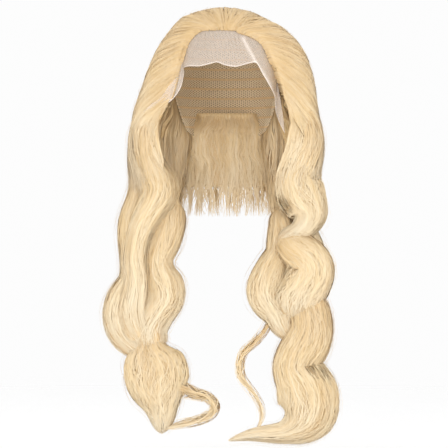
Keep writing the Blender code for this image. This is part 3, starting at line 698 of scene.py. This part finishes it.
# Hair over the cap: it rises from the edge of the front opening, sweeps back over the cap, and runs on
# down over the falls, so that the upper strands bind each side into one body.
crownLook = {
    "middle": Vector((0.0, 0.0, -0.095)), "columns": 48, "overCap": 24, "overFall": 20,
    "triangles": 186000,
    # heights where the locks take over and where the strands end, and how far they lie over what is below
    "seam": -0.140, "lowest": -0.232, "raise": 1.9 * mm, "overLocks": 2.6 * mm, "frontAzimuth": 45.0,
    # the roots, set in from the edge of the front opening and out on to the lace, in mm
    "rootLow": -126.0, "rootIn": 2.5, "rootOut": 4.5, "rootBack": -1.4 * mm,
    # rows and rounds that ease the strands into the falls
    "easeRows": 15.0, "easeRounds": 50,
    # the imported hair: its outer skin sinks under the strands, its rims run in behind them
    "skinFrom": 4.4, "sink": 3.2, "rimBack": 7.0, "rimSink": 1.6, "rimFrom": -120.0, "rimDrop": 0.034,
}
solids = nodeTree(["crown_hair", "left_fall", "right_fall", "nape_hair"])


def flatHull(points):
    # outer side of a flat set of points, as a ring
    points = sorted(set((round(x, 6), round(y, 6)) for x, y in points))
    chains = []
    for order in (points, points[::-1]):
        chain = []
        for p in order:
            while len(chain) > 1:
                (ax, ay), (bx, by) = chain[-2], chain[-1]
                if (bx - ax) * (p[1] - ay) - (by - ay) * (p[0] - ax) > 0:
                    break
                chain.pop()
            chain.append(p)
        chains.append(chain[:-1])
    return chains[0] + chains[1]


def hullPath(points, side):
    # the part of that ring from its inner front round to its inner back
    hull = flatHull(points)
    middle = sum(p[1] for p in hull) / len(hull)
    front = min((p for p in hull if p[1] < middle), key=lambda p: p[0] * side + 0.4 * p[1])
    back = min((p for p in hull if p[1] > middle), key=lambda p: p[0] * side - 0.4 * p[1])
    if side < 0:
        hull = hull[::-1]
    start = hull.index(front)
    hull = hull[start:] + hull[:start]
    return evenPath(hull[:hull.index(back) + 1], crownLook["columns"])


def evenPath(points, count):
    # the same path with evenly spaced points
    points = np.array(points, float)
    lengths = np.concatenate([[0.0], np.cumsum(np.linalg.norm(np.diff(points, axis=0), axis=1))])
    at = np.linspace(0, lengths[-1], count)
    return np.stack([np.interp(at, lengths, points[:, k]) for k in range(points.shape[1])], axis=1)


def sectionPoints(grids, height):
    # where the locks cross a height
    found = []
    for grid in grids:
        high, low = grid[:-1], grid[1:]
        cross = (high[..., 2] - height) * (low[..., 2] - height) <= 0
        for a, b in zip(high[cross], low[cross]):
            share = (height - a[2]) / (b[2] - a[2]) if b[2] != a[2] else 0.0
            found.append(tuple((a + (b - a) * share)[:2]))
    return found


# Hair at the nape: one curtain round its three locks, ragged at its ends, in the shade of the cap.
napeLook = {
    "top": -0.124, "bedEnd": -0.222, "end": -0.262, "rows": 18, "columns": 60, "layers": 3.2,
    "girth": 0.29, "shade": 0.45,
}


def napeGrid(scale, end):
    grids = [lockGrid(locks[name], 1.0, 0.0) for name in locks if name.startswith("nape")]
    rows = []
    for height in np.linspace(napeLook["top"], end, napeLook["rows"]):
        found = sectionPoints(grids, max(-0.234, min(height, -0.1285)))
        hull = flatHull(found)
        loop = evenPath(hull + hull[:1], napeLook["columns"])
        centre = loop[:-1].mean(axis=0)
        thin = 1 - 0.5 * max(0.0, (-0.19 - height) / 0.07)
        loop = centre + (loop - centre) * np.array([scale, scale * thin])
        loop = np.roll(loop[:-1], -int(np.argmax(loop[:-1, 1])), axis=0)
        rows.append([(x, y, height) for x, y in list(loop) + [loop[0]]])
    return np.array(rows)


guide = gridMesh("napeHair", napeGrid(0.99, napeLook["end"]))
look = dict(strandLook, **{
    "Seed": 55, "Shade": napeLook["shade"], "Clumps": 26.0, "Wander": 0.05, "Front Bias": 1.0,
    "End Spread": 0.45,
})
look["Count"] = int(napeLook["layers"] * napeLook["girth"] / strandLook["Width"])
wild = dict(looseLook, **{"Count": 30, "Seed": 57, "Shade": napeLook["shade"]})
napeStrands = joinAll("napeHairStrands", growStrands(guide, look, wild))
napeBed = gridMesh("napeHairBed", napeGrid(0.9, napeLook["bedEnd"]), close=True)
napeBed.data.materials.append(bed)
for piece in (napeStrands, napeBed):
    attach(piece, "root")
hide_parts("nape_hair")
bedMeshes.append(napeBed.data)
print("wig: nape", len(napeStrands.data.polygons) * 2, "triangles of strands")


def crownGrid(side):
    middle = crownLook["middle"]
    columns = crownLook["columns"]
    line = [p for p in hairline if p[0] * side >= -2 and p[1] > crownLook["rootLow"]]
    line.sort(key=lambda p: p[0] * side - p[1])
    line = evenPath([(-2.0, -18.9)] + [p for p in line if p[0] * side > 3], columns)[::-1]
    roots = []
    for x, z in line:
        out = Vector((x, z + 60)).normalized() * crownLook["rootIn"]
        hit = castBack(solids, x + out.x, z + out.y)
        rim = castBack(solids, x, z)
        front = hit[0].y if rim[0] is None else min(hit[0].y, rim[0].y)
        roots.append(Vector((x * mm, front + crownLook["rootBack"], z * mm)))
    # the section of the hair over the cap at the seam, found from outside
    seam = []
    for azimuth in np.radians(np.linspace(crownLook["frontAzimuth"], 180, 70)):
        way = Vector((side * math.sin(azimuth), -math.cos(azimuth), 0))
        hit = solids.ray_cast(way * 0.4 + Vector((0, 0, crownLook["seam"] + 0.001)), -way)
        if hit[0].xy.dot(way.xy) > 0:  # a ray nearer the front passes through the opening
            seam.append(hit[0][:2])
    seam = evenPath(seam, columns)
    guides = []
    for name in locks:
        if name.startswith("left" if side < 0 else "right") or name.startswith("nape"):
            guides.append(lockGrid(locks[name], 1.0, 0.0))
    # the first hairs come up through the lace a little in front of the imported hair
    laceTree = nodeTree(["front_lace", "cap", "crown_hair"])
    first = []
    for x, z in line:
        toFace = Vector((x, z + 75)).normalized() * crownLook["rootOut"]
        x, z = x - toFace.x, z - toFace.y
        hit = castBack(laceTree, x, z)
        first.append(Vector((x * mm, hit[0].y - 0.0004, z * mm)))
    rows = [first]
    for r in range(crownLook["overCap"]):
        t = (r / crownLook["overCap"]) ** 1.5  # closer rows near the roots
        row = []
        for c in range(columns):
            root = roots[c]
            if r == 0:
                row.append(root)
                continue
            goal = Vector((*seam[c], crownLook["seam"])) - middle
            a = (root - middle).normalized()
            b = goal.normalized()
            turn = a.angle(b)
            way = (a * math.sin((1 - t) * turn) + b * math.sin(t * turn)) / math.sin(turn)
            way.normalize()
            reach = (root - middle).length * (1 - t) + goal.length * t
            hit = solids.ray_cast(middle + way * 0.5, -way)
            # at the edge of the front opening a ray can pass through it
            inside = hit[0] is None or (hit[0] - middle).dot(way) < 0.75 * reach
            row.append(middle + way * reach if inside else hit[0] + hit[1] * crownLook["raise"])
        rows.append(row)
    for r in range(crownLook["overFall"]):
        t = r / (crownLook["overFall"] - 1)
        height = crownLook["seam"] + (crownLook["lowest"] - crownLook["seam"]) * t
        found = [p for p in sectionPoints(guides, height) if p[0] * side >= 0]
        path = hullPath(found, side)
        if r == 0:
            step = seam - path
        path = path + step * (1 - t) ** 1.6
        centre = np.mean(path, axis=0)
        away = path - centre
        away /= np.linalg.norm(away, axis=1)[:, None]
        path = path + away * crownLook["overLocks"] * min(1.0, 2.5 * (1 - t))
        rows.append([(x, y, height) for x, y in path])
    grid = np.array([[tuple(p) for p in row] for row in rows])
    smoothGrid(grid, 5)
    easeSeam(grid)
    # the evening-out drew the guide in, so it is laid on the hair again
    for r in range(2, len(grid)):
        share = min(1.0, max(0.0, (crownLook["overCap"] - 3 - r) / 9.0))
        for c in range(columns):
            way = Vector(grid[r, c]) - middle
            reach = way.length
            way.normalize()
            goal = []
            for tree in (solids, bedTree):
                hit = tree.ray_cast(middle + way * 0.5, -way)
                near = hit[0] is not None and (hit[0] - middle).dot(way) > 0.9 * reach
                goal.append((hit[0] - middle).length + crownLook["raise"] if near else reach)
            grid[r, c] = middle + way * max(reach, goal[0] * share + goal[1] * (1 - share))
    smoothGrid(grid, 2)
    return grid


def easeSeam(grid):
    # strands turn gently from their sweep over the cap into the falls
    seam = crownLook["overCap"] + 1
    rows = np.arange(len(grid))
    share = np.clip(1.25 - np.abs(rows - seam) / crownLook["easeRows"], 0, 1)[:, None, None]
    share = share * share * (3 - 2 * share)
    eased = grid.copy()
    for _ in range(crownLook["easeRounds"]):
        eased[2:-1] = (eased[1:-2] + 2 * eased[2:-1] + eased[3:]) / 4
    grid[:] = grid + (eased - grid) * share


def smoothGrid(grid, rounds):
    # evens out the facets and flutes of the solids, and leaves the roots where they are
    for _ in range(rounds):
        inner = grid.copy()
        inner[2:-1] = (grid[1:-2] + 2 * grid[2:-1] + grid[3:]) / 4
        grid[:] = inner
        inner[1:, 1:-1] = (grid[1:, :-2] + 2 * grid[1:, 1:-1] + grid[1:, 2:]) / 4
        grid[:] = inner


def fromLine(x, z, line):
    best = 1e9
    for (ax, az), (bx, bz) in zip(line, line[1:]):
        share = ((x - ax) * (bx - ax) + (z - az) * (bz - az)) / ((bx - ax) ** 2 + (bz - az) ** 2)
        share = max(0.0, min(1.0, share))
        best = min(best, math.hypot(x - ax - share * (bx - ax), z - az - share * (bz - az)))
    return best


# Under the strands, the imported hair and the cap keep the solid's own form.
def mergedCopy(name, node, surface):
    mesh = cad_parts[node].data.copy()
    shape = bmesh.new()
    shape.from_mesh(mesh)
    bmesh.ops.remove_doubles(shape, verts=shape.verts, dist=1e-6)
    shape.to_mesh(mesh)
    shape.free()
    mesh.name = name
    mesh.materials.clear()
    mesh.materials.append(surface)
    for face in mesh.polygons:
        face.use_smooth = True
    return addObject(name, mesh)


crownBed = mergedCopy("crownBed", "crown_hair", makePackedMaterial("packedHairUnder", underLook, False))
lockTree = nodeTree(["left_fall", "right_fall", "nape_hair"])
for vertex in crownBed.data.vertices:
    x, y, z = vertex.co / mm
    rise = z + headForm["rise"]
    reach = headForm["rise"] if rise > 0 else headForm["drop"]
    size = math.hypot(x / headForm["halfWidth"], y / headForm["halfLength"], rise / reach)
    thick = (size - 1) * headForm["halfWidth"]
    if thick > crownLook["skinFrom"]:  # the outer surface makes room for the strands over it
        vertex.co -= vertex.normal * min(crownLook["sink"], (thick - crownLook["skinFrom"]) * 0.8) * mm
    if y < 0 and fromLine(x, z, hairline) < crownLook["rimBack"]:
        vertex.co -= vertex.normal * crownLook["rimSink"] * mm
    # the lower rim runs out thin inside the locks
    low = min(1.0, max(0.0, (crownLook["rimFrom"] - z) / 20.0)) ** 2
    if low > 0:
        way = Vector((x, y, 0)).normalized()
        under = Vector((0, 0, vertex.co.z - crownLook["rimDrop"] * low))
        if thick < 9:
            hit = lockTree.ray_cast(under + way * 0.04, way)
            depth = 0.004
        else:
            hit = lockTree.ray_cast(under + way * 0.4, -way)
            depth = -0.005
        if hit[0] is not None and hit[0].xy.dot(way.xy) > 0:
            goal = under + way * (hit[0].xy.length + depth)
            vertex.co = vertex.co.lerp(goal, low)
bedMeshes.append(crownBed.data)
bedTree = meshTree(bedMeshes)

crownPieces = []
for side, title in ((-1, "crownLeft"), (1, "crownRight")):
    grid = crownGrid(side)
    guide = gridMesh(title, grid if side > 0 else grid[:, ::-1])
    look = dict(strandLook, **{
        "Seed": 71 + side, "Points": 34, "Clumps": 30.0, "Clump Run": 1.3, "Clump Rise": 0.55 * mm,
        "Wander": 0.05, "Front Bias": 1.0, "Start Spread": 0.05, "End Spread": 0.42, "Lift": -0.6 * mm,
        "Lift Spread": 1.8 * mm, "Root Sink": 0.3 * mm, "Shade": 0.6,
    })
    look["Count"] = crownLook["triangles"] // (2 * (look["Points"] - 1))
    wild = dict(looseLook, **{
        "Count": 50, "Seed": 91 + side, "Start Spread": 0.5, "Wander": 0.08, "Points": 34,
        "Lift Spread": 3.0 * mm,
    })
    crownPieces.append(joinAll(title + "Strands", growStrands(guide, look, wild)))

# Inside, below the edge of the cap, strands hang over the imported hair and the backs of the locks.
innerLook = {
    "top": -0.094, "end": -0.225, "rows": 20, "columns": 30, "front": 58.0, "back": 132.0, "count": 220,
    "shade": 0.8,
}


def innerGrid(side):
    capTree = nodeTree(["cap"])
    angles = np.radians(np.linspace(innerLook["front"], innerLook["back"], innerLook["columns"]))
    rows = []
    for height in np.linspace(innerLook["top"], innerLook["end"], innerLook["rows"]):
        reach = []
        for azimuth in angles:
            way = Vector((side * math.sin(azimuth), -math.cos(azimuth), 0))
            hit = solids.ray_cast(Vector((0, 0, height)) + way * 0.03, way)
            net = capTree.ray_cast(Vector((0, 0, height)) + way * 0.03, way)
            found = hit[0].xy.length - 0.001 if hit[0] is not None and hit[0].xy.length < 0.125 else np.nan
            reach.append(net[0].xy.length + 0.004 if net[0] is not None else found)
        reach = np.array(reach)
        known = ~np.isnan(reach)
        reach = np.interp(np.arange(len(reach)), np.flatnonzero(known), reach[known])
        rows.append([(side * math.sin(a) * r, -math.cos(a) * r, height) for a, r in zip(angles, reach)])
    grid = np.array(rows)
    smoothGrid(grid, 2)
    return grid


for side, title in ((-1, "innerLeft"), (1, "innerRight")):
    grid = innerGrid(side)
    guide = gridMesh(title, grid[:, ::-1] if side > 0 else grid)
    look = dict(strandLook, **{
        "Count": innerLook["count"], "Seed": 131 + side, "Shade": innerLook["shade"], "Clumps": 12.0,
        "Wander": 0.06, "Front Bias": 1.0, "End Spread": 0.35, "Lift": -0.5 * mm, "Lift Spread": 2.5 * mm,
    })
    crownPieces += growStrands(guide, look)

for piece in crownPieces + [crownBed]:
    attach(piece, "root")
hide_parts("crown_hair")
print("wig: crown", [len(p.data.polygons) * 2 for p in crownPieces], len(crownBed.data.polygons) * 2)

# Cap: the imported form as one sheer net, with the wefts that carry the hair sewn inside it.
capNet = mergedCopy("capNet", "cap", net)
clothPlace = capNet.data.attributes.new("clothMm", "FLOAT_VECTOR", "POINT")
for vertex in capNet.data.vertices:
    x, y, z = vertex.co / mm
    clothPlace.data[vertex.index].vector = (math.atan2(x, y) * 80.0, z, 0.0)  # measured round the back
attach(capNet, "root")
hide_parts("cap")

# Lace panel, column by column from the tail on the left to the flap on the right, in mm:
# across and height of the upper point, then of the lower one.
laceColumns = [
    (-107.9, -126.8, -107.9, -130), (-96.9, -117, -96.9, -123.5), (-83.9, -107.9, -82.5, -119.6),
    (-74.8, -94.9, -69.5, -111.8), (-62.4, -80.6, -59.1, -97.5), (-57.3, -63.7, -54.6, -79.3),
    (-57.9, -45.5, -55.2, -71.5), (-50.1, -29.9, -47.5, -69.5), (-37.1, -15.6, -34.5, -70.2),
    (-18.9, -14.3, -21.4, -67.6), (-8.5, -14.3, -12.3, -65.7), (4.5, -14.3, -2, -69.5),
    (15, -16.9, 11.1, -71.5), (24.1, -20.8, 21.4, -68.9), (33.1, -24.7, 30.6, -66.3),
    (41, -29.9, 38.4, -66.3), (48.8, -39, 46.1, -79.3), (56.6, -52, 54, -92.3),
    (63.1, -66.3, 61.8, -106.6), (65, -81.9, 63.1, -123.5), (67.6, -100.1, 65.7, -133.9),
    (70.9, -120.9, 70.2, -145.6), (73.5, -139.1, 74.8, -154.7),
]
# Laid flat the strip is a shallow arch of about 299 x 93 mm, cut from the slightly larger rectangle in flat.
lacePanel = {
    "perColumn": 8, "rows": 30, "rimWidth": 1.8, "creaseWidth": 2.2, "thickness": 0.3 * mm,
    "flat": (0.305, 0.095),
}
laceCrease = [(21.0, -34.0), (30.5, -52.0), (38.5, -66.5), (53.0, -88.0), (63.0, -108.0)]


def makeLace():
    solid = nodeTree(["front_lace"])
    columns = eased(laceColumns, lacePanel["perColumn"])
    rows = lacePanel["rows"]
    grid = np.zeros((rows + 1, len(columns), 3))
    doubled = []
    for i, (topX, topZ, lowX, lowZ) in enumerate(columns):
        for j in range(rows + 1):
            x = topX + (lowX - topX) * j / rows
            z = topZ + (lowZ - topZ) * j / rows
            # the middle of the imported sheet, found from in front
            hit = castBack(solid, x, z)
            y = hit[0].y + 0.0005 if hit[0] is not None else None
            grid[j, i] = (x * mm, y if y is not None else np.nan, z * mm)
    for j in range(rows + 1):
        known = ~np.isnan(grid[j, :, 1])
        grid[j, ~known, 1] = np.interp(np.flatnonzero(~known), np.flatnonzero(known), grid[j, known, 1])
    for j in range(rows + 1):
        for i in range(len(columns)):
            x, y, z = grid[j, i] / mm
            rim = max(
                0.0, 1 - (rows - j) * abs(columns[i][3] - columns[i][1]) / rows / lacePanel["rimWidth"],
            )
            fold = math.exp(-((fromLine(x, z, laceCrease) / lacePanel["creaseWidth"]) ** 2))
            doubled.append(0.55 * rim + 0.35 * fold)
    made = gridMesh("laceFront", grid)
    cloth = np.zeros((rows + 1, len(columns), 3))
    cloth[:, 1:, 0] = np.cumsum(np.linalg.norm(np.diff(grid[rows // 2], axis=0), axis=1)) / mm
    cloth[1:, :, 1] = np.cumsum(np.linalg.norm(np.diff(grid, axis=0), axis=2), axis=0) / mm
    layer = made.data.attributes.new("clothMm", "FLOAT_VECTOR", "POINT")
    layer.data.foreach_set("vector", cloth.astype(np.float32).reshape(-1))
    layer = made.data.attributes.new("doubled", "FLOAT", "POINT")
    layer.data.foreach_set("value", np.array(doubled, np.float32))
    made.data.materials.append(laceCloth)
    area = sum(f.area for f in made.data.polygons)
    print("wig: lace area", round(area, 5), "m2")
    solidify = made.modifiers.new("thickness", "SOLIDIFY")
    solidify.thickness = lacePanel["thickness"]
    solidify.offset = 0.0
    return made, area


laceFront, laceArea = makeLace()
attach(laceFront, "root")
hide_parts("front_lace")

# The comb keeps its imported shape.
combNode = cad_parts["temple_comb"]
combNode.data.materials.clear()
combNode.data.materials.append(comb)
print("wig: lace, cap and comb made")

# Studio: a pale floor that fades into the white, large soft lights, a long lens straight on.
studio = {
    "floorHeight": -0.586, "floorSize": 3.0, "fadeFrom": 0.5, "lensMm": 215.0, "distance": 3.5,
    "aim": (-0.0033, -0.2717), "white": 0.98,
}
corners = np.array([[(x, y, studio["floorHeight"]) for x in (-1, 0, 1)] for y in (-1, 0, 1)], float)
corners[..., :2] *= studio["floorSize"]
studioFloor = gridMesh("studioFloor", corners)
paper, paperTree, paperShader = startMaterial("whitePaper")
paperShader.inputs["Base Color"].default_value = linear("#FAFAFA")
paperShader.inputs["Roughness"].default_value = 0.9
paperPlace = addNode(paperTree, "ShaderNodeTexCoord")
paperFar = calc(paperTree, "LENGTH", paperPlace.outputs["Object"], kind="VectorMath")
paperFade = remap(
    paperTree, paperFar.outputs["Value"], (studio["fadeFrom"], studio["floorSize"] * 0.8), (1.0, 0.0),
    interpolation_type="SMOOTHSTEP",
)
paperTree.links.new(paperFade.outputs[0], paperShader.inputs["Alpha"])
studioFloor.data.materials.append(paper)

world = bpy.data.worlds.new("studioWorld")
world.use_nodes = True
world.node_tree.nodes["Background"].inputs["Color"].default_value = (1, 1, 1, 1)
world.node_tree.nodes["Background"].inputs["Strength"].default_value = studio["white"]
bpy.context.scene.world = world

for name, place, size, power in (
    ("keyLight", (-0.7, -2.3, 0.0), 1.2, 20.0),
    ("fillLight", (1.4, -1.9, -0.1), 1.4, 9.0),
    ("topLight", (0.1, 0.2, 1.6), 1.2, 3.0),
):
    light = bpy.data.lights.new(name, "AREA")
    light.size = size
    light.energy = power
    lamp = addObject(name, light)
    lamp.location = place
    lamp.rotation_euler = (Vector((0, 0, -0.25)) - Vector(place)).to_track_quat("-Z", "Y").to_euler()

camera = bpy.data.cameras.new("studioCamera")
camera.lens = studio["lensMm"]
camera.sensor_width = 36.0
camera.clip_end = 50.0
cameraObject = addObject("studioCamera", camera)
cameraObject.location = (studio["aim"][0], -studio["distance"], studio["aim"][1])
cameraObject.rotation_euler = (math.radians(90), 0, 0)
bpy.context.scene.camera = cameraObject
bpy.context.scene.view_settings.view_transform = "Standard"
print("wig: studio ready")
